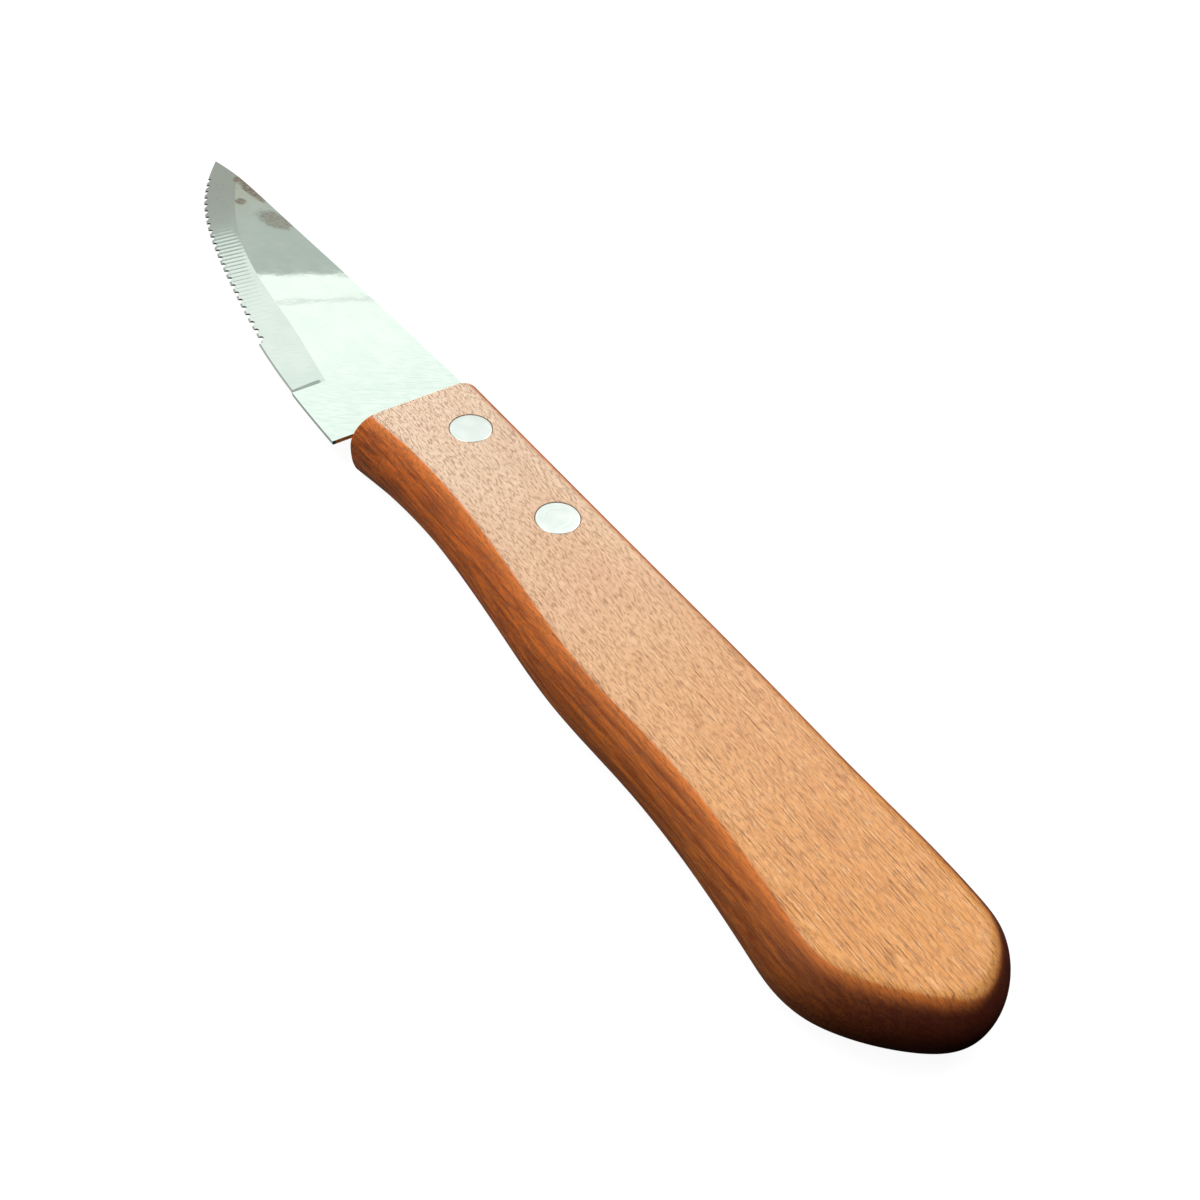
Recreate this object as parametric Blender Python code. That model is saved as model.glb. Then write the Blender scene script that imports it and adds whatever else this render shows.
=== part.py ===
"""Serrated table knife: stainless blade, one-piece wooden handle, two two-part rivets.

Metres, +Z up. The knife lies flat on its handle: +X runs to the tip, +Y to the cutting
edge, and the floor is z = 0. The origin is the middle of the footprint.
"""

import math

import bmesh
import bpy
import numpy as np
from mathutils import Matrix

MM = 0.001

# Handle
HANDLE_LENGTH = 136.6 * MM  # front end to butt
HANDLE_WIDTH = 31.2 * MM  # spine side to belly side, at the widest
HANDLE_THICK = 12.0 * MM

# Blade
BLADE_REACH = 106.0 * MM  # front end of the handle to the tip
BLADE_HEIGHT = 28.8 * MM  # spine to heel corner
BLADE_THICK = 0.8 * MM
EDGE_THICK = 0.25 * MM
HEEL_STANDOFF = 3.1 * MM  # front end of the handle to the back of the heel
PLUNGE_RUN = 0.8 * MM  # length of the slope where the ground band starts
GRIND_STEP = 0.3 * MM  # how far the grinding draws the edge back
TOOTH_STEP = 0.65 * MM  # how much further the toothed stretch is drawn back
TOOTH_COUNT = 24
TOOTH_DEPTH = 0.8 * MM
GULLET_SHARE = 0.56  # of the tooth pitch, the rest being the flat crest
TIP_BLUNT = 0.15 * MM

# Tang
TANG_HEIGHT = 17.2 * MM
TANG_INSET = 0.25 * MM  # in from the spine line, so that wood covers it
TANG_PAST_RIVET = 11.4 * MM  # rear rivet to the end of the tang
TANG_ROUND = 3.0 * MM

# Rivets
RIVET_SETBACK = 12.0 * MM  # front end of the handle to the front rivet
RIVET_SPACING = 26.6 * MM
RIVET_FROM_SPINE = 9.5 * MM
HEAD_DIAMETER = 7.5 * MM
HEAD_THICK = 1.2 * MM
HEAD_CHAMFER = 0.15 * MM
BARREL_DIAMETER = 4.6 * MM
PIN_DIAMETER = 2.2 * MM
PIN_SHORTFALL = 2.0 * MM  # top of the pin below the roof of the bore

# Fits and fineness
GAP = 0.3 * MM  # clearance between touching pieces
REACH = 4.0 * MM  # how far a cutting tool runs past what it cuts
JOG = 0.05 * MM  # run of a square step along the blade
ROUND_STEPS = 56
OUTLINE_STEPS = 150
ROLL_STEPS = 12

# Outline of the handle at mid thickness, from the spine side of the front end round the
# butt to the belly side: (share of the length from the front, share of the width).
HANDLE_OUTLINE = (
    (0.000, 0.000), (0.417, 0.008), (0.637, 0.015), (0.732, 0.022), (0.908, 0.031),
    (0.942, 0.057), (1.000, 0.497), (0.972, 0.714), (0.924, 0.900), (0.896, 0.967),
    (0.857, 1.000), (0.818, 0.984), (0.611, 0.910), (0.470, 0.924), (0.363, 0.885),
    (0.120, 0.826), (0.000, 0.866),
)
# The rounded side of the handle: share of the way round the outline, then above and below
# the middle the width in from the outline, as a share of the thickness, and the curve's
# root and power.
HANDLE_ROLL = (
    (0.00, 0.42, 2.0, 2.2, 0.42, 2.0, 2.2),
    (0.40, 0.35, 1.6, 2.2, 0.35, 1.6, 2.2),
    (0.48, 0.33, 1.1, 2.3, 0.33, 1.1, 2.3),
    (0.54, 0.41, 1.1, 2.3, 0.41, 1.1, 2.3),
    (0.62, 0.43, 1.1, 2.3, 0.43, 1.1, 2.3),
    (0.75, 0.39, 1.1, 2.3, 0.39, 1.1, 2.3),
    (0.91, 0.43, 1.1, 2.3, 0.41, 1.1, 2.1),
    (0.965, 0.44, 1.2, 2.3, 0.30, 1.4, 2.3),
    (1.000, 0.44, 1.6, 2.4, 0.20, 2.0, 2.5),
)

# Lines of the blade: (share of the reach, share of the height below the spine line).
SPINE_LINE = ((0.0, 0.0), (0.45, 0.048), (0.75, 0.092), (0.93, 0.129), (1.0, 0.163))
EDGE_LINE = ((0.0, 1.0), (0.18, 0.992), (0.35, 0.945), (0.5, 0.862), (0.65, 0.756),
             (0.8, 0.608), (0.92, 0.4), (1.0, 0.198))
BAND_LINE = ((0.0, 0.80), (0.18, 0.756), (0.31, 0.688), (0.54, 0.6), (0.74, 0.424), (0.87, 0.21),
             (1.0, -0.04))
PLUNGE = 0.181  # share of the reach where the ground band starts
TEETH_FROM, TEETH_TO = 0.345, 0.94  # shares of the reach

# Derived positions
TIP_X = (HANDLE_LENGTH + BLADE_REACH) / 2
FRONT_X = TIP_X - BLADE_REACH
HEEL_X = FRONT_X + HEEL_STANDOFF
SPINE_Y = -HANDLE_WIDTH / 2
MID_Z = HANDLE_THICK / 2
BLADE_TOP = MID_Z + BLADE_THICK / 2
BLADE_BOTTOM = MID_Z - BLADE_THICK / 2
GRIND_DEPTH = BLADE_THICK - EDGE_THICK
RIVET_Y = SPINE_Y + RIVET_FROM_SPINE
FRONT_RIVET_X = FRONT_X - RIVET_SETBACK
REAR_RIVET_X = FRONT_RIVET_X - RIVET_SPACING
RIVETS = {"front": FRONT_RIVET_X, "rear": REAR_RIVET_X}
TANG_END_X = REAR_RIVET_X - TANG_PAST_RIVET


def clear_scene():
    for obj in list(bpy.data.objects):
        bpy.data.objects.remove(obj, do_unlink=True)


def material(name, colour, metallic, roughness):
    made = bpy.data.materials.new(name)
    made.use_nodes = True
    shader = made.node_tree.nodes["Principled BSDF"]
    shader.inputs["Base Color"].default_value = (*colour, 1.0)
    shader.inputs["Metallic"].default_value = metallic
    shader.inputs["Roughness"].default_value = roughness
    made.diffuse_color = (*colour, 1.0)
    return made


def varnished_wood():
    return material("varnished_wood", (0.52, 0.23, 0.10), 0.0, 0.38)


def blade_steel():
    return material("blade_steel", (0.66, 0.69, 0.67), 1.0, 0.24)


def rivet_metal():
    return material("rivet_metal", (0.72, 0.75, 0.73), 1.0, 0.32)


def finish(name, shape, look=None, smooth_up_to=30):
    """A linked object from a bmesh: faces outwards, smooth but for its real edges."""
    bmesh.ops.recalc_face_normals(shape, faces=shape.faces)
    mesh = bpy.data.meshes.new(name)
    shape.to_mesh(mesh)
    shape.free()
    mesh.shade_smooth()
    mesh.set_sharp_from_angle(angle=math.radians(smooth_up_to))
    if look:
        mesh.materials.append(look)
    obj = bpy.data.objects.new(name, mesh)
    bpy.context.scene.collection.objects.link(obj)
    return obj


def lofted(rings):
    """A closed skin over equal rings of points, capped by the first and the last."""
    shape = bmesh.new()
    rows = [[shape.verts.new(point) for point in ring] for ring in rings]
    shape.faces.new(rows[0])
    shape.faces.new(rows[-1])
    for near, far in zip(rows, rows[1:]):
        for i in range(len(near)):
            shape.faces.new((near[i - 1], near[i], far[i], far[i - 1]))
    return shape


def turned(profile):
    """A profile of (radius, height), from axis to axis, spun once round the Z axis."""
    shape = bmesh.new()
    points = [shape.verts.new((radius, 0, height)) for radius, height in profile]
    lines = [shape.edges.new(pair) for pair in zip(points, points[1:])]
    bmesh.ops.spin(shape, geom=points + lines, cent=(0, 0, 0), axis=(0, 0, 1),
                   angle=2 * math.pi, steps=ROUND_STEPS, use_merge=True)
    bmesh.ops.remove_doubles(shape, verts=shape.verts, dist=1e-6)
    return shape


def block(low, high):
    low, high = np.array(low), np.array(high)
    shape = bmesh.new()
    place = Matrix.Translation((low + high) / 2) @ Matrix.Diagonal((*(high - low), 1))
    bmesh.ops.create_cube(shape, size=1, matrix=place)
    return shape


def cut(obj, name, shape, at=(0, 0, 0)):
    """Cuts the shape, placed at a point, from the object."""
    tool = finish(name, shape)
    tool.location = at
    tool.hide_render = True
    tool.display_type = "WIRE"
    step = obj.modifiers.new(name, "BOOLEAN")
    step.operation = "DIFFERENCE"
    step.solver = "EXACT"
    step.object = tool


def spline(points):
    """Natural cubic spline by chord length: (length, function from length to points)."""
    points = np.asarray(points, float)
    count = len(points)
    chords = np.linalg.norm(np.diff(points, axis=0), axis=1)
    knots = np.concatenate([[0], np.cumsum(chords)])
    system, right = np.eye(count), np.zeros((count, 2))
    for i in range(1, count - 1):
        before, after = chords[i - 1], chords[i]
        system[i, i - 1 : i + 2] = before, 2 * (before + after), after
        slopes = (points[i + 1] - points[i]) / after, (points[i] - points[i - 1]) / before
        right[i] = 6 * (slopes[0] - slopes[1])
    bend = np.linalg.solve(system, right)

    def at(length):
        i = np.clip(np.searchsorted(knots, length, side="right") - 1, 0, count - 2)
        h = chords[i][:, None]
        b = (length - knots[i])[:, None] / h
        a = 1 - b
        curved = (a**3 - a) * bend[i] + (b**3 - b) * bend[i + 1]
        return a * points[i] + b * points[i + 1] + curved * h**2 / 6

    return knots[-1], at


def line_height(line, share):
    """Y of one of the blade's lines at shares of the reach."""
    length, at = spline(line)
    shares, heights = at(np.linspace(0, length, 400)).T
    return SPINE_Y + np.interp(share, shares, heights) * BLADE_HEIGHT


def handle_rings():
    """Outlines of the handle from the top face down, drawn in where the sides round off.

    At level c, from 1 at the top to -1 at the bottom, the outline stands in by
    width * (1 - (1 - |c| ** power) ** (1 / root)).
    """
    corners = [(FRONT_X - along * HANDLE_LENGTH, SPINE_Y + across * HANDLE_WIDTH)
               for along, across in HANDLE_OUTLINE]
    length, at = spline(corners)
    steps = np.linspace(0, length, OUTLINE_STEPS)
    plan = at(steps)
    tangent = np.gradient(plan, axis=0)
    tangent /= np.linalg.norm(tangent, axis=1)[:, None]
    inward = np.stack([tangent[:, 1], -tangent[:, 0]], axis=1)
    inward[0], inward[-1] = (0, 1), (0, -1)
    share, *columns = np.array(HANDLE_ROLL).T
    curves = [np.interp(steps / length, share, column) for column in columns]
    rings = []
    for level in np.cos(np.linspace(0, np.pi, ROLL_STEPS + 1)):
        width, root, power = curves[:3] if level > 0 else curves[3:]
        draw = HANDLE_THICK * width * (1 - (1 - abs(level) ** power) ** (1 / root))
        ring = plan + inward * draw[:, None]
        ring[[0, -1], 0] = FRONT_X
        height = np.full((len(ring), 1), MID_Z * (1 + level))
        rings.append(np.hstack([ring, height]))
    return rings


def add_handle(look):
    handle = finish("handle", lofted(handle_rings()), look, smooth_up_to=22)
    kerf_low = (TANG_END_X - GAP, SPINE_Y - REACH, BLADE_BOTTOM - GAP)
    kerf_high = (FRONT_X + REACH, SPINE_Y + TANG_HEIGHT + GAP, BLADE_TOP + GAP)
    cut(handle, "kerf_tool", block(kerf_low, kerf_high))
    wide, narrow = HEAD_DIAMETER / 2 + GAP, BARREL_DIAMETER / 2 + GAP
    low_seat, high_seat = HEAD_THICK + GAP, HANDLE_THICK - HEAD_THICK - GAP
    hole = [(0, HANDLE_THICK + REACH), (wide, HANDLE_THICK + REACH), (wide, high_seat),
            (narrow, high_seat), (narrow, low_seat), (wide, low_seat), (wide, -REACH),
            (0, -REACH)]
    for place, x in RIVETS.items():
        cut(handle, f"{place}_hole_tool", turned(hole), (x, RIVET_Y, 0))


def tooth_cuts():
    """{share of the reach: depth}: half-elliptical gullets, evenly pitched along the edge."""
    share = np.linspace(TEETH_FROM, TEETH_TO, 400)
    steps = np.hypot(np.diff(share) * BLADE_REACH, np.diff(line_height(EDGE_LINE, share)))
    run = np.concatenate([[0], np.cumsum(steps)])
    across = np.linspace(-1, 1, 7)
    depth = TOOTH_DEPTH * np.sqrt(1 - across**2)
    cuts = {}
    for tooth in range(TOOTH_COUNT):
        along = (tooth + (1 + across * GULLET_SHARE) / 2) / TOOTH_COUNT
        places = np.interp(along * run[-1], run, share)
        cuts.update(zip(np.round(places, 6).tolist(), depth.tolist()))
    return cuts


def section(x, spine, band, edge, fall=0):
    """Ring across the blade: spine, band and edge on top, then edge and spine beneath.

    Beyond the band line the top face falls evenly; fall is its slope.
    """
    knee = max(band, (3 * spine + edge) / 4)
    top = [(x, y, BLADE_TOP - fall * max(0, y - band)) for y in (spine, knee, edge)]
    return top + [(x, edge, BLADE_BOTTOM), (x, spine, BLADE_BOTTOM)]


def tang_sections():
    """The tang, its rounded end first, out to the square step of the heel."""
    spine, belly = SPINE_Y + TANG_INSET, SPINE_Y + TANG_HEIGHT
    heel = SPINE_Y + BLADE_HEIGHT
    middle = (spine + belly) / 2
    rings = []
    for turn in np.linspace(0, math.pi / 2, 6):
        x = TANG_END_X + TANG_ROUND * (1 - math.cos(turn))
        trim = TANG_ROUND * (1 - math.sin(turn))
        rings.append(section(x, spine + trim, middle, belly - trim))
    rings.append(section(FRONT_X - JOG, spine, middle, belly))
    rings.append(section(FRONT_X, SPINE_Y, middle, belly))
    rings.append(section(HEEL_X - JOG, SPINE_Y, middle, belly))
    rings.append(section(HEEL_X, SPINE_Y, line_height(BAND_LINE, 0), heel))
    return rings


def ground_sections():
    """The blade from heel to tip: plain, then ground to a thin edge, then toothed.

    Near the tip the band line runs out past the spine, so the ground face takes in the
    whole width and thins the spine as well.
    """
    cuts = tooth_cuts()
    plain = np.linspace(HEEL_STANDOFF / BLADE_REACH, PLUNGE, 5)[1:]
    ground = np.linspace(PLUNGE + PLUNGE_RUN / BLADE_REACH, TEETH_FROM, 6)
    point = np.linspace(TEETH_TO, 1, 8)
    shares = np.concatenate([plain, ground, list(cuts), point])
    rings = []
    for share in np.unique(np.round(shares, 6)).tolist():
        x = FRONT_X + share * BLADE_REACH
        spine, band = line_height(SPINE_LINE, share), line_height(BAND_LINE, share)
        edge = line_height(EDGE_LINE, share)
        edge -= GRIND_STEP * (share > PLUNGE) + TOOTH_STEP * (share > TEETH_FROM)
        edge = max(edge, spine + TIP_BLUNT)
        fall = GRIND_DEPTH * (share > PLUNGE) / (edge - band)
        rings.append(section(x, spine, band, edge - cuts.get(share, 0), fall))
    return rings


def add_blade(look):
    rings = tang_sections() + ground_sections()
    blade = finish("blade", lofted(rings), look, smooth_up_to=3)
    hole = BARREL_DIAMETER / 2 + GAP
    profile = [(0, HANDLE_THICK), (hole, HANDLE_THICK), (hole, 0), (0, 0)]
    for place, x in RIVETS.items():
        cut(blade, f"{place}_tang_tool", turned(profile), (x, RIVET_Y, 0))


def add_barrel(place, x, look):
    """The tube half: the head on the top face and a barrel down through the tang."""
    head, barrel, bore = HEAD_DIAMETER / 2, BARREL_DIAMETER / 2, PIN_DIAMETER / 2 + GAP
    neck, foot = HANDLE_THICK - HEAD_THICK, 2 * HEAD_THICK
    profile = [(0, HANDLE_THICK), (head - HEAD_CHAMFER, HANDLE_THICK),
               (head, HANDLE_THICK - HEAD_CHAMFER), (head, neck), (barrel, neck),
               (barrel, foot), (bore, foot), (bore, neck), (0, neck)]
    obj = finish(f"rivet_{place}_barrel", turned(profile), look)
    obj.location = (x, RIVET_Y, 0)


def add_pin(place, x, look):
    """The solid half: the head on the underside and a pin up into the barrel."""
    head, pin = HEAD_DIAMETER / 2, PIN_DIAMETER / 2
    end = HANDLE_THICK - HEAD_THICK - PIN_SHORTFALL
    profile = [(0, end), (pin, end), (pin, HEAD_THICK), (head, HEAD_THICK),
               (head, HEAD_CHAMFER), (head - HEAD_CHAMFER, 0), (0, 0)]
    obj = finish(f"rivet_{place}_pin", turned(profile), look)
    obj.location = (x, RIVET_Y, 0)


def main():
    clear_scene()
    add_blade(blade_steel())
    add_handle(varnished_wood())
    metal = rivet_metal()
    for place, x in RIVETS.items():
        add_barrel(place, x, metal)
        add_pin(place, x, metal)


main()
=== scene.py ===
"""Looks of the table knife: ground and toothed steel blade, varnished wooden handle, flush rivets.

Metres, +Z up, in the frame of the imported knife: +X to the tip, +Y to the cutting edge.
"""

import math

import bmesh
import bpy
import numpy as np
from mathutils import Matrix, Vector

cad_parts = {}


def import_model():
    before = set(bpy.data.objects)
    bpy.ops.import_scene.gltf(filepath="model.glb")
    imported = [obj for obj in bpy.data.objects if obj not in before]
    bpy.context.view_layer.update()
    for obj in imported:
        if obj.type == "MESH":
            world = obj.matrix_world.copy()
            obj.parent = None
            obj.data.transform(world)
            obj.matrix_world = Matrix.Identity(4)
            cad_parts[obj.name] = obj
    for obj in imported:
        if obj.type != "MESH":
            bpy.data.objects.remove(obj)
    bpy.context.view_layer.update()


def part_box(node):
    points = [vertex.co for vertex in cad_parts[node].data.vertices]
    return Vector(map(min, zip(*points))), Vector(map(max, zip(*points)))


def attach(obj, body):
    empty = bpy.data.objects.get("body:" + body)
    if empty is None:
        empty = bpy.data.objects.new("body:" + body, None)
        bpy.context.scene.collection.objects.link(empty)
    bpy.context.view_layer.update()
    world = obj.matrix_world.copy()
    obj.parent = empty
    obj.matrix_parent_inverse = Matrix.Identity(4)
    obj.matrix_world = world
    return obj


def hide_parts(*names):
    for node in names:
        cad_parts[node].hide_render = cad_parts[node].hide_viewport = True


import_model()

MM = 0.001
TAU = 2 * math.pi

# Places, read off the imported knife
BLADE_LOW, BLADE_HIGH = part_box("blade")
HANDLE_LOW, HANDLE_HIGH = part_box("handle")
FRONT_X, BUTT_X, TIP_X = HANDLE_HIGH.x, HANDLE_LOW.x, BLADE_HIGH.x
SPINE_Y, HEEL_Y = BLADE_LOW.y, BLADE_HIGH.y
TANG_END_X = BLADE_LOW.x
REACH = TIP_X - FRONT_X
BLADE_HEIGHT = HEEL_Y - SPINE_Y
HANDLE_LENGTH, HANDLE_WIDTH = FRONT_X - BUTT_X, HANDLE_HIGH.y - HANDLE_LOW.y
HANDLE_TOP = HANDLE_HIGH.z
MID_Z = HANDLE_TOP / 2
BLADE_TOP, BLADE_BOTTOM = BLADE_HIGH.z, BLADE_LOW.z

# Blade
EDGE_THICK = 0.12 * MM
HEEL_STANDOFF = 3.1 * MM  # from the handle's front end to the heel
PLUNGE_RUN = 1.2 * MM  # in which the grind comes to its full depth
GRIND_STEP, TOOTH_STEP = 0.3 * MM, 0.65 * MM  # steps inwards where the grind and the teeth start
TEETH, TOOTH_DEPTH, GULLET_SHARE = 24, 0.85 * MM, 0.56
LAST_GULLET_RUN = 1 * MM  # in which the gullets run out
POINT_HEIGHT = 0.05 * MM
FLUTE_DEPTH = 0.012 * MM
FLUTE_SLANT = -1.1 * MM  # how far a flute drifts towards the tip across the ground band
FLUTES_FADE = 27 * MM  # from the tip, where the flutes die out over FLUTES_FADE_RUN
FLUTES_FADE_RUN = 6 * MM
FLUTES_LEAST = 0.08  # share of their depth that is left near the tip
FACET_WIDTH, FACET_TILT = 0.5 * MM, 0.36  # the last, steeper grind along the very edge
TANG_HEIGHT, TANG_INSET, TANG_CORNER = 17.2 * MM, 0.25 * MM, 3 * MM
ROW_GUARD = 0.04 * MM  # between two rows of points that keep a border crisp
TANG_GUARD, HEEL_GUARD = 0.05 * MM, 0.03 * MM  # the same, behind the handle's front end and the heel

# Handle
SNUG = 0.1 * MM  # dark line left round a rivet or along the kerf
PAST = 4 * MM  # how far the kerf's cutter stands out of the handle
FRONT_TURN = 6 * MM  # in which the sides turn to run straight out at the front end
SOFT_CREASE = 2  # rounds of smoothing over the crease of the handle's flat faces
WORN_RIM = 0.22 * MM  # of the end face
END_FACE = 0.3 * MM  # how far behind the front end a face still counts as the end face
# How far down the side the flat faces' colour fades: at the butt, at the front, on the spine's
# side, and for the shoulder. Carried down the side, the pale colour is partly painted light and
# shade: it sharpens the crease's shading step, and on the spine's side it paints a lit band. The
# shoulder's fade paints a lit band under the crease.
CREASE_BUTT, CREASE_FRONT, CREASE_SPINE, SHOULDER_FADE = 0.45 * MM, 0.32 * MM, 1.6 * MM, 3.2 * MM

# Rivets
BARREL_RADIUS, PIN_RADIUS, BORE_CLEARANCE = 2.3 * MM, 1.1 * MM, 0.3 * MM
HEAD_THICK, PIN_SHORTFALL = 1.2 * MM, 2 * MM
HEAD_CROWN, HEAD_RIM = 0.05 * MM, 0.15 * MM
RING_DEPTH, RING_PITCH = 0.002 * MM, 0.45 * MM
SEAM_PLACE, SEAM_WIDTH = 0.6, 0.12 * MM
SEAM_DEPTHS = (("front", 0.0), ("rear", 0.02 * MM))

# Outline of the handle at mid thickness: (share of the length, share of the width).
HANDLE_OUTLINE = (
    (0.000, 0.000), (0.417, 0.008), (0.637, 0.015), (0.732, 0.022), (0.908, 0.031),
    (0.942, 0.057), (1.000, 0.497), (0.972, 0.714), (0.924, 0.900), (0.896, 0.967),
    (0.857, 1.000), (0.818, 0.984), (0.611, 0.910), (0.470, 0.924), (0.363, 0.885),
    (0.120, 0.826), (0.000, 0.866),
)
# Rounded side: share of the way round, then above and below the middle the width as a
# share of the thickness and the curve's root and power.
HANDLE_ROLL = (
    (0.00, 0.42, 2.0, 2.2, 0.42, 2.0, 2.2),
    (0.40, 0.35, 1.6, 2.2, 0.35, 1.6, 2.2),
    (0.48, 0.33, 1.1, 2.3, 0.33, 1.1, 2.3),
    (0.54, 0.41, 1.1, 2.3, 0.41, 1.1, 2.3),
    (0.62, 0.43, 1.1, 2.3, 0.43, 1.1, 2.3),
    (0.75, 0.39, 1.1, 2.3, 0.39, 1.1, 2.3),
    (0.91, 0.43, 1.1, 2.3, 0.41, 1.1, 2.1),
    (0.965, 0.44, 1.2, 2.3, 0.30, 1.4, 2.3),
    (1.000, 0.44, 1.6, 2.4, 0.20, 2.0, 2.5),
)
# Lines of the blade: (share of the reach, share of the height below the spine line).
SPINE_LINE = ((0.0, 0.0), (0.45, 0.048), (0.75, 0.092), (0.93, 0.129), (1.0, 0.163))
EDGE_LINE = ((0.0, 1.0), (0.18, 0.992), (0.35, 0.945), (0.5, 0.862), (0.65, 0.756),
             (0.8, 0.608), (0.92, 0.4), (1.0, 0.198))
BAND_LINE = ((0.0, 0.80), (0.18, 0.756), (0.31, 0.688), (0.54, 0.6), (0.74, 0.424),
             (0.87, 0.21), (1.0, -0.04))
PLUNGE, TEETH_FROM, TEETH_TO = 0.181, 0.345, 0.94  # shares of the reach
# Tarnish, in mm: back from the tip, away from the spine, length, width; then turn, strength.
TARNISH = (
    (16.5, 3.4, 7.0, 2.0, 0.07, 1.0),
    (11.0, 3.9, 1.8, 1.6, 0.0, 1.0),
    (30.5, 4.6, 6.0, 3.0, 0.25, 0.75),
    (20.0, 7.7, 1.7, 1.4, 0.0, 0.95),
)

# Colours of the wood: its flat faces, its sides, and what runs over both. Some of them hold painted
# light or shade: painted sheen at the flat faces' front, painted highlights in the pale flecks, a
# painted lit band under the crease and painted shade near the butt.
# Painted sheen: the flat faces' colour at the front end, paler and whiter than at the back.
PALE_FRONT_PAINTED_SHEEN = (0.81, 0.615, 0.45, 1)
PALE_BACK = (0.75, 0.325, 0.084, 1)
# Light flecks of the grain, also painted as speckled highlights on the varnish.
PALE_FLECK_AND_GLINT = (1.0, 0.76, 0.52, 1)
SIDE_FRONT = (0.80, 0.168, 0.016, 1)
SIDE_BACK = (0.57, 0.155, 0.02, 1)
SIDE_STREAK = (0.24, 0.046, 0.006, 1)
SIDE_FLECK = (0.16, 0.035, 0.008, 1)
# Painted light: the bright band just under the crease, where the side still faces up.
SHOULDER_PAINTED_LIGHT = (0.86, 0.24, 0.045, 1)
BROAD_STREAK = (0.5, 0.12, 0.03, 1)
MOTTLE = (0.42, 0.14, 0.04, 1)
PORE = (0.27, 0.095, 0.035, 1)
# Painted shade over the lower sides near the butt, on top of the end grain's own darkening.
BUTT_STAIN_AND_SHADE = (0.05, 0.006, 0.003, 1)

# Colours of the steel, its stains and the rivet heads
STEEL_DULL = (0.62, 0.695, 0.64, 1)
STEEL_BRIGHT = (0.66, 0.73, 0.675, 1)
ROLLED = (0.54, 0.62, 0.565, 1)
ROLLED_BY_HANDLE = (0.50, 0.60, 0.54, 1)
TIP_STEEL = (0.61, 0.61, 0.49, 1)
BAND_SHADE = (0.84, 0.845, 0.85, 1)
TIP_BAND = (0.45, 0.45, 0.43, 1)
SPECK = (0.33, 0.33, 0.26, 1)
STAIN_LIGHT = (0.32, 0.25, 0.19, 1)
STAIN_DARK = (0.12, 0.09, 0.06, 1)
HEAD_DULL = (0.64, 0.70, 0.66, 1)
HEAD_BRIGHT = (0.70, 0.74, 0.71, 1)

# Softboxes: azimuth and elevation in degrees, distance, (width, height), radiance.
SOFTBOXES = {
    "window": (-29, 46.6, 3.0, (3.9, 1.6), 0.585),
    "side": (-88, 48, 1.6, (1.0, 0.9), 3.9),
    "near": (52, 66, 1.6, (0.9, 0.9), 4.4),
}
PALEST_WAY = (0.996, 0.087, 0.0)  # where the studio behind them is palest

# Camera: place, turns in degrees, focal length and sensor width in mm
CAMERA_PLACE = (-0.13513, 0.08090, 0.14536)
CAMERA_TURNS = (42.79, -4.63, -126.30)
LENS, SENSOR = 35.67, 36.0


# Curves and meshes

def spline(points):
    """Natural cubic spline by chord length: (length, function from lengths to points)."""
    points = np.asarray(points, float)
    count = len(points)
    chords = np.linalg.norm(np.diff(points, axis=0), axis=1)
    knots = np.concatenate([[0], np.cumsum(chords)])
    system, right = np.eye(count), np.zeros((count, 2))
    for i in range(1, count - 1):
        before, after = chords[i - 1], chords[i]
        system[i, i - 1 : i + 2] = before, 2 * (before + after), after
        right[i] = 6 * ((points[i + 1] - points[i]) / after - (points[i] - points[i - 1]) / before)
    bend = np.linalg.solve(system, right)

    def at(length):
        i = np.clip(np.searchsorted(knots, length, side="right") - 1, 0, count - 2)
        h = chords[i][:, None]
        b = (length - knots[i])[:, None] / h
        a = 1 - b
        curved = (a**3 - a) * bend[i] + (b**3 - b) * bend[i + 1]
        return a * points[i] + b * points[i + 1] + curved * h**2 / 6

    return knots[-1], at


def line_height(line, share, samples=600):
    """Y of one of the blade's lines at shares of the reach."""
    length, at = spline(line)
    shares, heights = at(np.linspace(0, length, samples)).T
    return SPINE_Y + np.interp(share, shares, heights) * BLADE_HEIGHT


def shade(mesh, sharp_over=35):
    """Smooth shading, but for edges over an angle in degrees."""
    mesh.shade_smooth()
    mesh.set_sharp_from_angle(angle=math.radians(sharp_over))


def mesh_of(name, points, faces):
    """A piece from arrays of points and faces."""
    mesh = bpy.data.meshes.new(name)
    mesh.from_pydata(points.reshape(-1, 3).tolist(), [], faces)
    mesh.validate()
    shade(mesh)
    piece = bpy.data.objects.new(name, mesh)
    bpy.context.scene.collection.objects.link(piece)
    return piece


def skin_faces(rows, columns, closed=True):
    """Quads of a grid of rows of points, each row closed round unless told otherwise."""
    index = np.arange(rows * columns).reshape(rows, columns)
    if closed:
        index = np.hstack([index, index[:, :1]])
    near, far = index[:-1], index[1:]
    quads = np.stack([near[:, :-1], near[:, 1:], far[:, 1:], far[:, :-1]], axis=-1)
    return quads.reshape(-1, 4).tolist()


def outward(piece, merge_within=None):
    """Turns every face of a closed piece outwards, after merging the points of its poles if given a
    distance to merge within.
    """
    shape = bmesh.new()
    shape.from_mesh(piece.data)
    if merge_within:
        bmesh.ops.remove_doubles(shape, verts=shape.verts, dist=merge_within)
    bmesh.ops.recalc_face_normals(shape, faces=shape.faces)
    shape.to_mesh(piece.data)
    shape.free()


def take_modifiers(piece):
    """Takes the piece's modifiers into its mesh."""
    bpy.context.view_layer.update()
    graph = bpy.context.evaluated_depsgraph_get()
    mesh = bpy.data.meshes.new_from_object(piece.evaluated_get(graph))
    piece.modifiers.clear()
    piece.data = mesh


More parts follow.
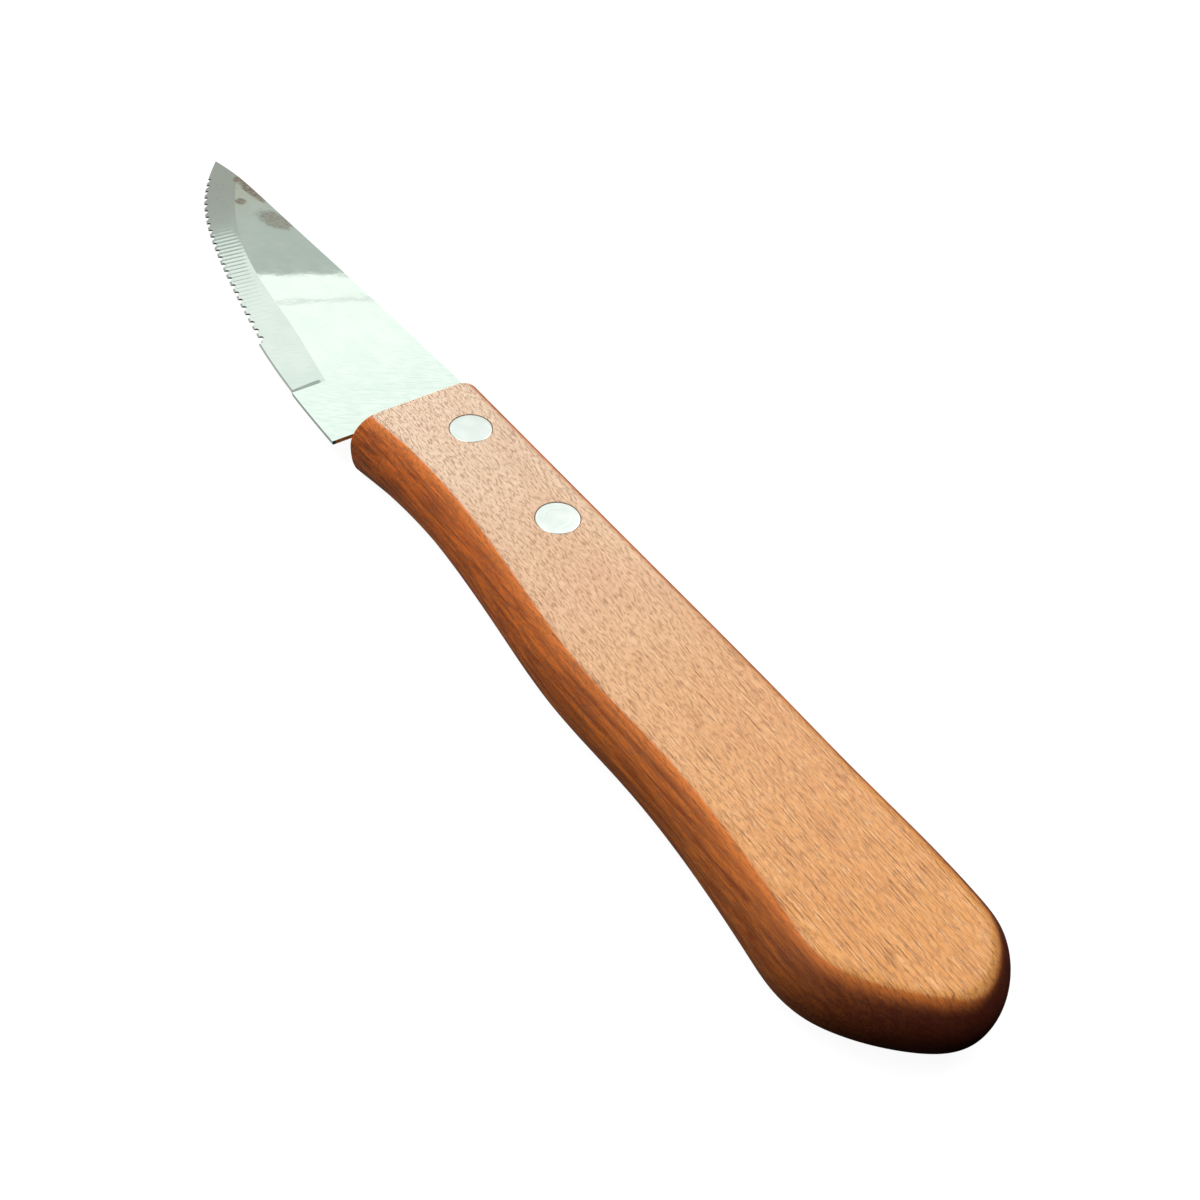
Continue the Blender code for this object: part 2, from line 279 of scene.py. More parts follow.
def cut_away(piece, *tools):
    """Cuts tools out of the piece and removes them."""
    for tool in tools:
        outward(tool)
        step = piece.modifiers.new(tool.name, "BOOLEAN")
        step.operation = "DIFFERENCE"
        step.solver = "EXACT"
        step.object = tool
    take_modifiers(piece)
    for tool in tools:
        bpy.data.objects.remove(tool, do_unlink=True)


def turned(name, x, y, profile, steps=128):
    """Profile of (radius, height), from axis to axis, turned round the upright at x, y.

    A point at angle a is (x + r cos a, y + r sin a, h).
    """
    angle = np.arange(steps) * TAU / steps
    radius, height = np.array(profile).T
    ring = np.stack([x + radius[:, None] * np.cos(angle), y + radius[:, None] * np.sin(angle),
                     np.broadcast_to(height[:, None], (len(radius), steps))], axis=-1)
    piece = mesh_of(name, ring, skin_faces(len(radius), steps))
    outward(piece, merge_within=1e-7)
    return piece


def block(name, low, high):
    """A plain box between two corners, used as a cutter."""
    x, y, z = zip(low, high)
    points = np.array([(x[i], y[j], z[k]) for i in (0, 1) for j in (0, 1) for k in (0, 1)])
    faces = [(0, 1, 3, 2), (4, 6, 7, 5), (0, 4, 5, 1), (2, 3, 7, 6), (0, 2, 6, 4), (1, 5, 7, 3)]
    return mesh_of(name, points, faces)


def points_of(mesh):
    """X, Y and Z of a mesh's points."""
    points = np.empty(len(mesh.vertices) * 3)
    mesh.vertices.foreach_get("co", points)
    return points.reshape(-1, 3).T


def mark(mesh, name, domain, values):
    """Writes an attribute of one number for each point or face corner."""
    layer = mesh.attributes.new(name, "FLOAT", domain)
    layer.data.foreach_set("value", values)


# Shader maths

class Val:
    """A shader socket that takes part in Python arithmetic."""

    def __init__(self, tree, socket):
        self.tree, self.socket = tree, socket

    def maths(self, operation, one, other):
        return node(self.tree, "ShaderNodeMath", {"operation": operation}, {0: one, 1: other})

    def __add__(self, other):
        return self.maths("ADD", self, other)

    def __sub__(self, other):
        return self.maths("SUBTRACT", self, other)

    def __rsub__(self, other):
        return self.maths("SUBTRACT", other, self)

    def __mul__(self, other):
        return self.maths("MULTIPLY", self, other)

    __radd__, __rmul__ = __add__, __mul__

    def larger(self, other):
        return self.maths("MAXIMUM", self, other)


def node(tree, kind, settings=None, inputs=None, output=0):
    """Adds a node: its settings first, then its sockets' values or links."""
    made = tree.nodes.new(kind)
    for name, value in (settings or {}).items():
        setattr(made, name, value)
    for name, value in (inputs or {}).items():
        socket = made.inputs[name]
        if isinstance(value, Val):
            tree.links.new(value.socket, socket)
        else:
            socket.default_value = value
    return Val(tree, made.outputs[output])


class Look:
    """A material on Principled BSDF, with the few patterns that the finishes share."""

    def __init__(self, name, **constants):
        self.material = bpy.data.materials.new(name)
        self.material.use_nodes = True
        self.tree = self.material.node_tree
        self.shader = self.tree.nodes["Principled BSDF"]
        for socket, value in constants.items():
            self.shader.inputs[socket.replace("_", " ")].default_value = value
        self.place = self.add("ShaderNodeTexCoord", output="Object")

    def add(self, kind, settings=None, inputs=None, output=0):
        return node(self.tree, kind, settings, inputs, output)

    def drive(self, socket, value):
        self.tree.links.new(value.socket, self.shader.inputs[socket])

    def stretched(self, x, y, z, turn=0.0, shift=(0, 0, 0)):
        """Object coordinates, in steps of x, y, z metres, turned about Z."""
        inputs = {"Vector": self.place, "Location": shift, "Rotation": (0, 0, turn), "Scale": (1, 1, 1)}
        placed = self.add("ShaderNodeMapping", {"vector_type": "POINT"}, inputs)
        return self.add("ShaderNodeVectorMath", {"operation": "MULTIPLY"},
                        {0: placed, 1: (1 / x, 1 / y, 1 / z)})

    def noise(self, vector, detail=2.0, roughness=0.5, distortion=0.0):
        return self.add("ShaderNodeTexNoise", {},
                        {"Vector": vector, "Scale": 1.0, "Detail": detail, "Roughness": roughness,
                         "Distortion": distortion})

    def ease(self, value, low, high):
        """0 below low, 1 above high, smooth between."""
        return self.add("ShaderNodeMapRange", {"interpolation_type": "SMOOTHSTEP"},
                        {"Value": value, "From Min": low, "From Max": high})

    def mix(self, share, one, other, blend="MIX"):
        return self.add("ShaderNodeMix", {"data_type": "RGBA", "blend_type": blend},
                        {"Factor": share, 6: one, 7: other}, output=2)

    def bump(self, height, distance, strength=1.0):
        return self.add("ShaderNodeBump", {},
                        {"Height": height, "Distance": distance, "Strength": strength})

    def attribute(self, name):
        return self.add("ShaderNodeAttribute", {"attribute_name": name}, output="Fac")

    def part(self, axis):
        """One of the object coordinates, in metres."""
        return self.add("ShaderNodeSeparateXYZ", {}, {0: self.place}, output=axis)


# Handle

def spaced_evenly(inset, height, across):
    """Profiles, one to a row, respaced to even steps along themselves and then smoothed."""
    step = np.hypot(np.diff(inset, axis=1), np.diff(height, axis=1))
    run = np.hstack([np.zeros((len(step), 1)), np.cumsum(step, axis=1)])
    even = run[:, -1:] * np.linspace(0, 1, across)
    place = np.clip((run[:, None, :] <= even[:, :, None]).sum(-1) - 1, 0, run.shape[1] - 2)
    low, high = (np.take_along_axis(run, place + k, axis=1) for k in (0, 1))
    part = (even - low) / np.maximum(high - low, 1e-12)
    profile = []
    for values in (inset, height):
        near, far = (np.take_along_axis(values, place + k, axis=1) for k in (0, 1))
        values = near + (far - near) * part
        for _ in range(SOFT_CREASE):
            values[:, 1:-1] = (values[:, :-2] + 2 * values[:, 1:-1] + values[:, 2:]) / 4
        profile.append(values)
    return profile


def handle_grid(along=640, across=64, levels=401, flat=1.6 * MM, flat_steps=40):
    """Grid of the handle's rounded side: round the outline by over the edge, top to bottom.

    At level c, from 1 at the top face to -1 at the bottom, a point stands in from the
    outline by thickness * width * (1 - (1 - |c| ** power) ** (1 / root)). The profile goes
    on over the flat faces for a little way, is spaced evenly, and is then smoothed, which
    softens its crease.
    """
    corners = np.array([(FRONT_X - u * HANDLE_LENGTH, HANDLE_LOW.y + v * HANDLE_WIDTH)
                        for u, v in HANDLE_OUTLINE])
    length, at = spline(corners)
    steps = np.linspace(0, length, along)
    plan = at(steps)
    tangent = np.gradient(plan, axis=0)
    tangent /= np.linalg.norm(tangent, axis=1)[:, None]
    inward = np.stack([tangent[:, 1], -tangent[:, 0]], axis=1)
    share, *columns = np.array(HANDLE_ROLL).T
    curves = [np.interp(steps / length, share, column)[:, None] for column in columns]
    level = np.cos(np.linspace(0, math.pi, levels))[None, :]
    width, root, power = [np.where(level > 0, curves[i], curves[i + 3]) for i in range(3)]
    inset = HANDLE_TOP * width * (1 - (1 - np.abs(level) ** power) ** (1 / root))
    height = np.broadcast_to(MID_Z * (1 + level), inset.shape)
    reach_in = np.linspace(flat, 0, flat_steps, endpoint=False)[None, :]
    inset = np.hstack([inset[:, :1] + reach_in, inset, inset[:, -1:] + reach_in[:, ::-1]])
    cap = np.full((along, flat_steps), HANDLE_TOP)
    height = np.hstack([cap, height, 0 * cap])
    inset, height = spaced_evenly(inset, height, across)
    # Towards the front the side turns to run straight out, so that the end face stays flat.
    straight = np.stack([0 * steps, np.where(steps < length / 2, 1, -1)], axis=1)
    ending = np.clip(np.minimum(steps, length - steps) / FRONT_TURN, 0, 1)[:, None]
    inward = straight * (1 - ending) + inward * ending
    points = np.dstack([plan[:, None, :] + inward[:, None, :] * inset[:, :, None], height])
    points[[0, -1], :, 0] = FRONT_X
    return points


def rivet_seat(place):
    """Cutter of a rivet's stepped seat: wide for the heads, narrow for the barrel."""
    x, y, radius = rivet_size(place)
    wide, narrow = radius + SNUG, BARREL_RADIUS + SNUG
    low, high = HEAD_THICK + SNUG, HANDLE_TOP - HEAD_THICK - SNUG
    profile = [(0, HANDLE_TOP + MM), (wide, HANDLE_TOP + MM), (wide, high), (narrow, high),
               (narrow, low), (wide, low), (wide, -MM), (0, -MM)]
    return turned(f"{place}_seat", x, y, profile)


def wood_handle():
    """The handle's skin, closed by its flat faces and its end, with kerf and rivet seats."""
    grid = handle_grid()
    rows, columns = grid.shape[:2]
    index = np.arange(rows * columns).reshape(rows, columns)
    faces = skin_faces(rows, columns, closed=False)
    top_face, underside = index[:, 0], index[::-1, -1]
    end_face = np.concatenate([index[0], index[-1][::-1]])
    faces += [top_face.tolist(), underside.tolist(), end_face.tolist()]
    piece = mesh_of("wood_handle", grid, faces)
    outward(piece)
    rim = piece.modifiers.new("worn_rim", "BEVEL")
    rim.width, rim.segments, rim.limit_method = WORN_RIM, 3, "ANGLE"
    rim.angle_limit = math.radians(60)
    take_modifiers(piece)
    kerf = block("kerf", (TANG_END_X - SNUG, SPINE_Y - PAST, BLADE_BOTTOM - SNUG),
                 (FRONT_X + PAST, SPINE_Y + TANG_HEIGHT + SNUG, BLADE_TOP + SNUG))
    cut_away(piece, kerf, rivet_seat("front"), rivet_seat("rear"))
    shade(piece.data)
    return piece


def mark_flats(piece):
    """Attributes 'flat', 1 on the flat faces, and 'shoulder', which goes further down the side.

    Both are 0 on the end face that the blade comes out of. 'flat' reaching down past the crease
    paints the crease's shading step and a lit band on the spine's side. 'shoulder' masks a painted
    lit band under the crease and holds back the painted shade at the butt.
    """
    mesh = piece.data
    x, y, z = points_of(mesh)
    corner = np.empty(len(mesh.loops), int)
    mesh.loops.foreach_get("vertex_index", corner)
    normals = np.empty(len(mesh.polygons) * 3)
    mesh.polygons.foreach_get("normal", normals)
    sides = np.empty(len(mesh.polygons), int)
    mesh.polygons.foreach_get("loop_total", sides)
    faces_ahead = np.repeat(normals[::3] > 0.7, sides)
    end_face = faces_ahead & (x[corner] > FRONT_X - END_FACE)
    from_face = MID_Z - np.abs(z - MID_Z)
    crease = np.interp(x, (BUTT_X + 20 * MM, FRONT_X), (CREASE_BUTT, CREASE_FRONT))
    crease = np.maximum(crease, np.interp(y, (-3 * MM, 3 * MM), (CREASE_SPINE, 0)))
    for name, depth in (("flat", crease), ("shoulder", SHOULDER_FADE)):
        mark(mesh, name, "CORNER", np.clip(1 - from_face / depth, 0, 1)[corner] * ~end_face)


def varnished_wood():
    """Orange-brown hardwood, streaked and pored along X, darker and redder at the butt.

    The butt's darkening is painted shade laid over the end grain's own darkening. The flat faces hold
    painted sheen towards the front, and a painted lit band runs under the crease.
    """
    look = Look("varnished_wood", IOR=1.42, Specular_IOR_Level=0.25, Coat_Roughness=0.3, Coat_IOR=1.45)
    flat = look.ease(look.attribute("flat"), 0.2, 0.8)
    shoulder = look.attribute("shoulder")
    back = look.ease(look.part("X"), FRONT_X, BUTT_X + 8 * MM)
    broad = look.noise(look.stretched(45 * MM, 6 * MM, 6 * MM), 3.0)
    streak = look.noise(look.stretched(14 * MM, 0.7 * MM, 0.7 * MM), 4.0, 0.6, 0.4)
    fine = look.noise(look.stretched(3.5 * MM, 0.2 * MM, 0.3 * MM), 3.0, 0.65)
    mottle = look.noise(look.stretched(1.1 * MM, 0.42 * MM, 0.6 * MM), 2.0, 0.6)
    pore_field = look.noise(look.stretched(1.25 * MM, 0.3 * MM, 0.5 * MM, 0.12), 2.0, 0.55, 0.5)
    pores = look.ease(pore_field, 0.49, 0.64) * (0.52 - back * 0.16)
    vessel_field = look.noise(look.stretched(6 * MM, 0.24 * MM, 0.5 * MM, 0.03, (0.01, 0, 0)), 2.0)
    vessels = look.ease(vessel_field, 0.52, 0.7) * (0.1 + back * 0.5)
    # Painted sheen: the flat faces turn paler and whiter towards the front.
    pale = look.mix(back, PALE_FRONT_PAINTED_SHEEN, PALE_BACK)
    # Light flecks of grain, partly painted speckled highlights.
    pale = look.mix(look.ease(fine, 0.48, 0.72) * 0.4, pale, PALE_FLECK_AND_GLINT)
    lit = look.mix(back, SIDE_FRONT, SIDE_BACK)
    deep = look.mix(look.ease(streak, 0.32, 0.68), SIDE_STREAK, lit)
    deep = look.mix(look.ease(fine, 0.45, 0.75) * 0.3, deep, SIDE_FLECK)
    # Painted light: a brighter band on the side just under the crease.
    deep = look.mix(look.ease(shoulder, 0.55, 1.0) * 0.8, deep, SHOULDER_PAINTED_LIGHT)
    # The step from the pale flat faces to the deeper sides is partly painted shade, which sharpens the
    # crease.
    body = look.mix(flat, deep, pale)
    body = look.mix(look.ease(broad, 0.35, 0.75) * 0.14, body, BROAD_STREAK)
    body = look.mix(look.ease(mottle, 0.4, 0.7) * 0.22, body, MOTTLE)
    colour = look.mix(pores + vessels, body, PORE)
    # Painted shade darkens the lower sides towards the butt, over the end grain's own darkening.
    end_grain_and_shade = 1 - look.ease(look.part("X"), BUTT_X + 3 * MM, BUTT_X + 34 * MM)
    end_grain_and_shade = end_grain_and_shade * (1 - look.ease(shoulder, 0.45, 1.0) * 0.8) * (1 - flat)
    look.drive("Base Color", look.mix(end_grain_and_shade * 0.94, colour, BUTT_STAIN_AND_SHADE))
    look.drive("Roughness", 0.58 - flat * 0.12 + fine * 0.08)
    look.drive("Coat Weight", flat * 0.25)
    relief = streak * 0.3 + fine * 0.4 + mottle * 0.3 - pores * 1.5 - vessels * 1.2
    look.drive("Normal", look.bump(relief, 0.07 * MM, 0.8))
    return look.material


# Blade

def edge_run(count=6000):
    """Shares of the reach along the toothed edge, and the teeth passed by then."""
    share = np.linspace(TEETH_FROM, TEETH_TO, count)
    steps = np.hypot(np.diff(share) * REACH, np.diff(line_height(EDGE_LINE, share)))
    run = np.concatenate([[0], np.cumsum(steps)])
    return share, run / run[-1] * TEETH


def gullet(passed):
    """Depth of the gullets, 0 to 1, at a place given in teeth: half ellipses between crests."""
    away = (passed % 1 - 0.5) / (GULLET_SHARE / 2)
    return np.sqrt(np.clip(1 - away**2, 0, 1))


def blade_shares(toothed, passed, plains=16, plunges=6, grounds=60, per_tooth=26, points=40):
    """Shares of the reach where the blade has a ring of points, heel to tip."""
    guard = ROW_GUARD / REACH
    plain = np.linspace(HEEL_STANDOFF / REACH, PLUNGE - guard, plains)
    plunge = np.linspace(PLUNGE, PLUNGE + PLUNGE_RUN / REACH, plunges)
    ground = np.linspace(plunge[-1] + guard, TEETH_FROM - 1e-5, grounds)
    teeth = np.interp(np.linspace(0, TEETH, TEETH * per_tooth + 1), passed, toothed)[1:]
    point = np.linspace(TEETH_TO, 1, points)[1:]
    return np.concatenate([plain, plunge, ground, teeth, point])


def flute_depth(share, across, toothed, passed):
    """Two flutes to a tooth, each a parabola across, that drift towards the tip.

    They start a quarter of the way across the band and fade near the tip.
    """
    drifted = share - FLUTE_SLANT * (1 - across) / REACH
    pitch = (TEETH_TO - TEETH_FROM) / TEETH
    before_teeth = (drifted - TEETH_FROM) / pitch
    teeth = np.where(drifted < TEETH_FROM, before_teeth, np.interp(drifted, toothed, passed))
    hollow = 1 - (2 * (2 * teeth % 1) - 1) ** 2
    clear = np.clip(((1 - share) * REACH - FLUTES_FADE) / FLUTES_FADE_RUN, FLUTES_LEAST, 1)
    return FLUTE_DEPTH * hollow * clear * np.clip(across * 4, 0, 1)


def blade_grid(flats=9, bands=22, unders=10, crowding=1.7):
    """Rings across the blade from the heel to the tip, spine over to edge and back.

    The flat goes from the spine to the band line. From there the ground face falls evenly
    to a narrow, steeper facet along the edge, and the flutes are cut into it.
    """
    toothed, passed = edge_run()
    share = blade_shares(toothed, passed)[:, None]
    spine, band = line_height(SPINE_LINE, share), line_height(BAND_LINE, share)
    is_ground = np.clip((share - PLUNGE) / (PLUNGE_RUN / REACH), 0, 1)
    is_toothed = (share > TEETH_FROM) * 1.0
    full = line_height(EDGE_LINE, share) - GRIND_STEP * is_ground
    line = np.maximum(full - TOOTH_STEP * is_toothed, spine + POINT_HEIGHT)
    running_out = np.clip((TEETH_TO - share) * REACH / LAST_GULLET_RUN, 0, 1)
    gullets = gullet(np.interp(share, toothed, passed))
    edge = line - TOOTH_DEPTH * gullets * running_out * is_toothed
    # Near the tip the band line passes the spine, so the knee stays a quarter of the way down.
    knee = np.maximum(band, (3 * spine + edge) / 4)
    beside = np.minimum(2 * ROW_GUARD, (edge - spine) / 50)
    u = np.linspace(0, 1, flats)[None, :]
    v = 1 - np.linspace(1, 0, bands)[None, :] ** crowding
    y = np.hstack([spine * (1 - u) + (knee - beside) * u, knee,
                   (knee + beside) * (1 - v) + edge * v])
    down = np.maximum(0, y - band)
    facet_drop = FACET_WIDTH * FACET_TILT
    fall = (BLADE_TOP - BLADE_BOTTOM - EDGE_THICK - facet_drop) * is_ground / (full - band)
    facet = np.clip(y - (line - FACET_WIDTH), 0, FACET_WIDTH) * FACET_TILT
    across = np.clip(down / (line - band), 0, 1)
    flutes = flute_depth(share, across, toothed, passed)
    z = BLADE_TOP - fall * down - (facet + flutes) * is_ground
    back = np.linspace(1, 0, unders)[None, :]
    y_under = spine * (1 - back) + edge * back
    y = np.hstack([y, y_under])
    z = np.hstack([z, np.full(y_under.shape, BLADE_BOTTOM)])
    x = np.broadcast_to(FRONT_X + share * REACH, y.shape)
    return np.stack([x, y, z], axis=-1), flats + bands


def tang_grid(columns, top_count, corner_steps=9):
    """Rings of the tang, ending in the square heel, with as many points as the blade's."""
    spine, belly = SPINE_Y + TANG_INSET, SPINE_Y + TANG_HEIGHT
    turn = np.linspace(0, math.pi / 2, corner_steps)
    x = np.concatenate([TANG_END_X + TANG_CORNER * (1 - np.cos(turn)),
                        [FRONT_X - TANG_GUARD, FRONT_X, FRONT_X + HEEL_STANDOFF - HEEL_GUARD]])
    trim = np.concatenate([TANG_CORNER * (1 - np.sin(turn)), [0, 0, 0]])
    low = np.concatenate([spine + trim[:-2], [SPINE_Y, SPINE_Y]])
    high = belly - trim
    top = np.linspace(0, 1, top_count + 1)
    under = np.linspace(1, 0, columns - top_count - 1)
    y = low[:, None] + (high - low)[:, None] * np.concatenate([top, under])
    z = np.where(np.arange(columns) <= top_count, BLADE_TOP, BLADE_BOTTOM)
    return np.stack([np.broadcast_to(x[:, None], y.shape), y, np.broadcast_to(z, y.shape)], axis=-1)


def rivet_hole(place):
    """Cutter of a rivet's hole in the tang."""
    x, y, _ = rivet_size(place)
    radius = BARREL_RADIUS + SNUG
    return turned(f"{place}_hole", x, y, [(0, HANDLE_TOP), (radius, HANDLE_TOP), (radius, 0), (0, 0)])


def blade_sheet():
    """Blade and tang as one skin, drilled for the rivets."""
    blade, top_count = blade_grid()
    grid = np.concatenate([tang_grid(blade.shape[1], top_count), blade])
    rows, columns = grid.shape[:2]
    faces = skin_faces(rows, columns)
    faces += [list(range(columns))[::-1], list(range((rows - 1) * columns, rows * columns))]
    piece = mesh_of("blade_sheet", grid, faces)
    outward(piece)
    cut_away(piece, rivet_hole("front"), rivet_hole("rear"))
    shade(piece.data, sharp_over=28)
    return piece


def mark_band(piece):
    """Attribute 'ground': 1 where the top face has been ground, 0 on the flat."""
    x, y, _ = points_of(piece.data)
    share = (x - FRONT_X) / REACH
    ground = (y > line_height(BAND_LINE, share) - 0.01 * MM) & (share > PLUNGE)
    mark(piece.data, "ground", "POINT", ground.astype(float))


def spot(look, x, y, long, wide, turn, ragged):
    """Share, 0 to 1, of a ragged oval patch centred at x, y."""
    placed = look.add("ShaderNodeMapping", {"vector_type": "TEXTURE"},
                      {"Vector": look.place, "Location": (x, y, BLADE_TOP), "Rotation": (0, 0, turn),
                       "Scale": (long, wide, 1)})
    away = look.add("ShaderNodeVectorMath", {"operation": "LENGTH"}, {0: placed}, "Value")
    return 1 - look.ease(away + ragged * 0.9 - 0.45, 0.6, 1.0)


def blade_steel():
    """Rolled stainless sheet: faint lengthwise lines on the flat, tarnish near the point."""
    look = Look("blade_steel", Metallic=1.0)
    band = look.attribute("ground")
    lines = look.noise(look.stretched(30 * MM, 0.18 * MM, 1, 0.02), 3.0, 0.6)
    strokes = look.noise(look.stretched(0.16 * MM, 9 * MM, 1, -0.2), 3.0, 0.6)
    cloud = look.noise(look.stretched(7 * MM, 4 * MM, 9 * MM), 3.0)
    ragged = look.noise(look.stretched(2.2 * MM, 1.4 * MM, 9 * MM), 4.0, 0.6)
    tarnish = 0.0
    for back, down, long, wide, turn, share in TARNISH:
        patch = spot(look, TIP_X - back * MM, SPINE_Y + down * MM, long * MM, wide * MM, turn, ragged)
        tarnish = (patch * share).larger(tarnish)
    rolled = look.noise(look.stretched(2.6 * MM, 0.35 * MM, 9 * MM, -0.94), 3.0, 0.65)
    specks = look.noise(look.stretched(0.7 * MM, 0.4 * MM, 9 * MM, -0.94), 2.0, 0.6)
    near_tip = look.ease(look.part("X"), TIP_X - 34 * MM, TIP_X - 12 * MM)
    by_handle = 1 - look.ease(look.part("X"), FRONT_X + 8 * MM, FRONT_X + 28 * MM)
    steel = look.mix(look.ease(cloud, 0.35, 0.7), STEEL_DULL, STEEL_BRIGHT)
    steel = look.mix(look.ease(rolled, 0.45, 0.75) * 0.35, steel, ROLLED)
    steel = look.mix(look.ease(rolled, 0.4, 0.6) * by_handle * 0.5, steel, ROLLED_BY_HANDLE)
    steel = look.mix(near_tip * 0.6, steel, TIP_STEEL)
    steel = look.mix(band, steel, BAND_SHADE, "MULTIPLY")
    steel = look.mix(band * near_tip * 0.55, steel, TIP_BAND)
    steel = look.mix(look.ease(specks, 0.5, 0.7) * near_tip * 0.3, steel, SPECK)
    stain = look.mix(look.ease(specks, 0.42, 0.62), STAIN_LIGHT, STAIN_DARK)
    look.drive("Base Color", look.mix(tarnish * 0.85, steel, stain))
    look.drive("Roughness", 0.015 + cloud * 0.02 + tarnish * 0.15 + band * 0.06)
    wave = look.noise(look.stretched(3.5 * MM, 3.5 * MM, 9 * MM), 2.0)
    relief = lines * 0.06 + strokes * band * 0.06 + wave
    look.drive("Normal", look.bump(relief, 0.004 * MM))
    return look.material


# Rivets

def rivet_size(place):
    """Centre x and y and head radius of a packed rivet."""
    low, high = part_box(f"rivet_{place}_barrel")
    return (low.x + high.x) / 2, (low.y + high.y) / 2, (high.x - low.x) / 2


def head_profile(radius, seam, face_steps=46, rim_steps=6):
    """Face of a rivet head from the axis out, as (radius, depth below the face).

    A crown falls with the square of the radius, with turned rings in a cosine on it, a
    ring-shaped seam in a bell curve, and a quarter circle as the rim.
    """
    r = np.linspace(0, radius - HEAD_RIM, face_steps)
    depth = HEAD_CROWN * (r / radius) ** 2 + RING_DEPTH * (0.5 - 0.5 * np.cos(TAU * r / RING_PITCH))
    depth += seam * np.exp(-(((r - SEAM_PLACE * radius) / SEAM_WIDTH) ** 2))
    turn = np.linspace(0, math.pi / 2, rim_steps)[1:]
    rim_r = radius - HEAD_RIM * (1 - np.sin(turn))
    rim_depth = depth[-1] + HEAD_RIM * (1 - np.cos(turn))
    return np.concatenate([r, rim_r]), np.concatenate([depth, rim_depth])


def rivet_barrel(place, seam):
    """The tube half: head on the top face, barrel through the tang, open bore below."""
    x, y, radius = rivet_size(place)
    r, depth = head_profile(radius, seam)
    neck, foot, bore = HANDLE_TOP - HEAD_THICK, 2 * HEAD_THICK, PIN_RADIUS + BORE_CLEARANCE
    profile = list(zip(r, HANDLE_TOP - depth))
    profile += [(radius, neck), (BARREL_RADIUS, neck), (BARREL_RADIUS, foot), (bore, foot),
                (bore, neck), (0, neck)]
    return turned(f"{place}_rivet_barrel", x, y, profile)


def rivet_pin(place, seam):
    """The solid half: head on the underside, pin up into the barrel."""
    x, y, radius = rivet_size(place)
    r, depth = head_profile(radius, seam)
    end = HANDLE_TOP - HEAD_THICK - PIN_SHORTFALL
    profile = [(0, end), (PIN_RADIUS, end), (PIN_RADIUS, HEAD_THICK), (radius, HEAD_THICK)]
    profile += list(zip(r, depth))[::-1]
    return turned(f"{place}_rivet_pin", x, y, profile)


def rivet_metal():
    """Linished aluminium with faint slanting scratches."""
    look = Look("rivet_metal", Metallic=1.0)
    grit = look.noise(look.stretched(1.4 * MM, 0.12 * MM, 1, 0.5), 3.0, 0.6)
    cloud = look.noise(look.stretched(2.5 * MM, 2.5 * MM, 2.5 * MM), 2.0)
    look.drive("Base Color", look.mix(look.ease(cloud, 0.35, 0.65), HEAD_DULL, HEAD_BRIGHT))
    look.drive("Roughness", 0.26 + cloud * 0.08 + grit * 0.05)
    look.drive("Normal", look.bump(grit, 0.003 * MM, 0.4))
    return look.material


# Stage

def floor(half=3.0):
    """A plain white floor that doesn't throw light back onto the knife."""
    mesh = bpy.data.meshes.new("floor")
    mesh.from_pydata([(-half, -half, 0), (half, -half, 0), (half, half, 0), (-half, half, 0)], [],
                     [(0, 1, 2, 3)])
    sheet = bpy.data.objects.new("floor", mesh)
    bpy.context.scene.collection.objects.link(sheet)
    sheet.location.z = -0.2 * MM
    look = Look("white_floor", Base_Color=(0.12, 0.12, 0.12, 1), Roughness=0.9,
                Emission_Color=(1, 1, 1, 1), Emission_Strength=0.94)
    mesh.materials.append(look.material)
    sheet.visible_diffuse = sheet.visible_glossy = False


def softbox(name, azimuth, elevation, distance, size, radiance):
    """A square-cornered area light, aimed at the knife from a direction in degrees."""
    a, e = math.radians(azimuth), math.radians(elevation)
    towards = Vector((math.cos(a) * math.cos(e), math.sin(a) * math.cos(e), math.sin(e)))
    light = bpy.data.lights.new(name, "AREA")
    light.shape, light.size, light.size_y = "RECTANGLE", size[0], size[1]
    light.energy = 4 * radiance * size[0] * size[1]
    lamp = bpy.data.objects.new(name, light)
    lamp.location = towards * distance
    lamp.rotation_mode = "QUATERNION"
    lamp.rotation_quaternion = towards.to_track_quat("Z", "Y")
    bpy.context.scene.collection.objects.link(lamp)


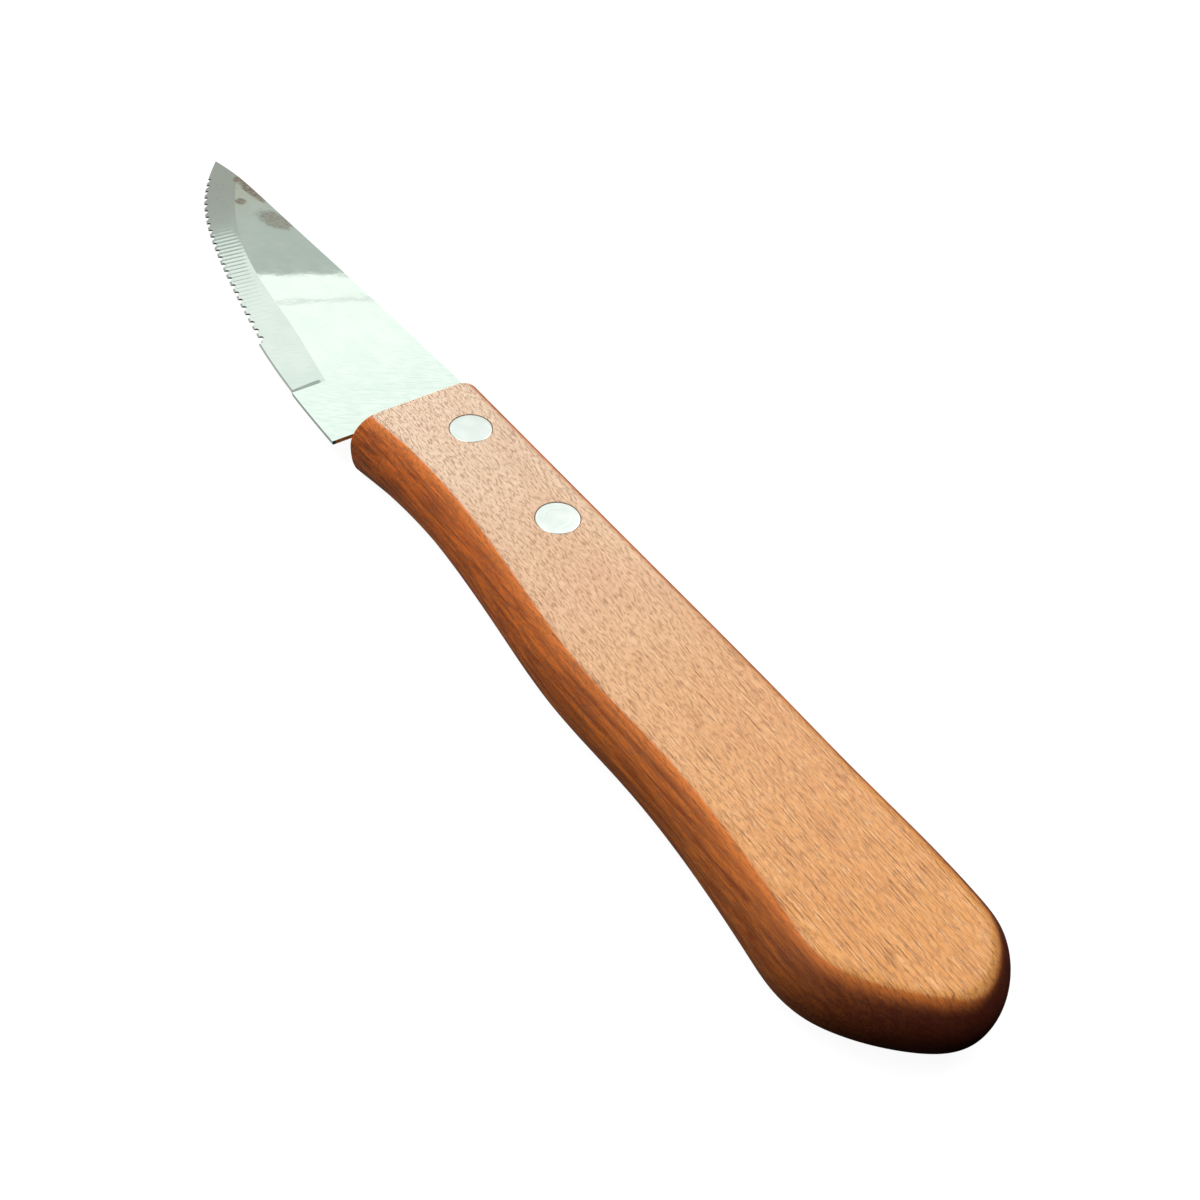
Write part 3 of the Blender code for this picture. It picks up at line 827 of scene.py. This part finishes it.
def world():
    """A studio that is pale beyond the tip and dark behind the butt, with a faint seam across."""
    made = bpy.data.worlds.new("studio")
    bpy.context.scene.world = made
    made.use_nodes = True
    tree = made.node_tree
    back = tree.nodes["Background"]
    way = node(tree, "ShaderNodeTexCoord", output="Generated")
    z = node(tree, "ShaderNodeSeparateXYZ", {}, {0: way}, "Z")
    beyond = node(tree, "ShaderNodeVectorMath", {"operation": "DOT_PRODUCT"},
                  {0: way, 1: PALEST_WAY}, "Value")

    def ease(value, low, high, least=0.0, most=1.0):
        return node(tree, "ShaderNodeMapRange", {"interpolation_type": "SMOOTHSTEP"},
                    {"Value": value, "From Min": low, "From Max": high, "To Min": least, "To Max": most})

    above = ease(z, -0.1, 0.15, least=0.6)
    side = ease(beyond, -0.25, 0.8, least=0.02, most=0.70)
    seam = ease(z, 0.5470, 0.5477) - ease(z, 0.5488, 0.5495)
    strength = above * side * (1 - seam * 0.7)
    tree.links.new(strength.socket, back.inputs["Strength"])
    back.inputs["Color"].default_value = (0.95, 1.0, 0.96, 1)


def camera():
    """Seen from above the butt, looking down along the knife to its tip."""
    data = bpy.data.cameras.new("camera")
    data.lens, data.sensor_width = LENS, SENSOR
    data.clip_start, data.clip_end = 0.01, 20
    eye = bpy.data.objects.new("camera", data)
    eye.location = CAMERA_PLACE
    eye.rotation_euler = [math.radians(turn) for turn in CAMERA_TURNS]
    bpy.context.scene.collection.objects.link(eye)
    bpy.context.scene.camera = eye


def dress(piece, look, slot, *nodes):
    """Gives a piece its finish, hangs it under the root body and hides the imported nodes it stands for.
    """
    piece.data.materials.clear()
    piece.data.materials.append(look)
    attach(piece, "root")
    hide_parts(*nodes)


def main():
    handle = wood_handle()
    mark_flats(handle)
    dress(handle, varnished_wood(), "varnished_wood", "handle")
    blade = blade_sheet()
    mark_band(blade)
    dress(blade, blade_steel(), "blade_steel", "blade")
    metal = rivet_metal()
    for place, seam in SEAM_DEPTHS:
        dress(rivet_barrel(place, seam), metal, "rivet_metal", f"rivet_{place}_barrel")
        dress(rivet_pin(place, seam), metal, "rivet_metal", f"rivet_{place}_pin")
    floor()
    world()
    for name, settings in SOFTBOXES.items():
        softbox(name, *settings)
    camera()
    bpy.context.scene.view_settings.view_transform = "Standard"


main()
